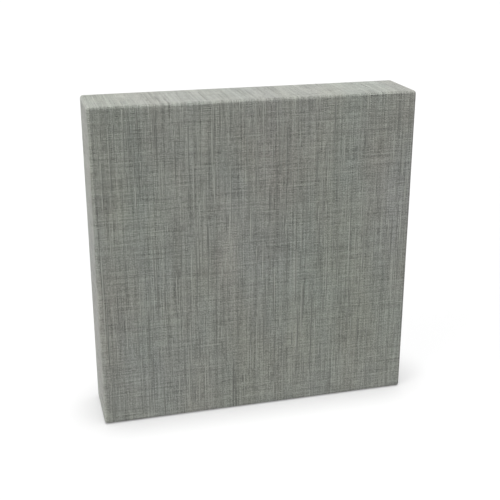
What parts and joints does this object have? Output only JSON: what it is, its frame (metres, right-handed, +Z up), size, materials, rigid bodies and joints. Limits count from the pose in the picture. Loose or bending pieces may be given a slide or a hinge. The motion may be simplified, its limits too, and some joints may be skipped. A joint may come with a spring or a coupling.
{
  "type": "fabric acoustic wall panel",
  "caption": "Square sound-absorbing wall panel: a thick wool block wrapped in taut grey-green woven cloth with rounded edges and a mitred hem on the rear.",
  "frame": {"origin": "middle of the panel's lower side, under its centre, at floor level when the panel stands", "axes": "+Z up along the panel's height, +Y out of the rear towards the wall, so the front faces -Y, and +X to the right seen from the front"},
  "size_m": [0.498, 0.1, 0.503],
  "materials": {
    "core_wool": "pressed mineral wool board with a fibrous, matt face",
    "cover_cloth": "plain-woven linen-look polyester in mottled grey-green, with slubs, matt"
  },
  "bodies": {
    "root": {"acoustic_core": "core_wool", "fabric_cover": "cover_cloth"}
  },
  "joints": []
}
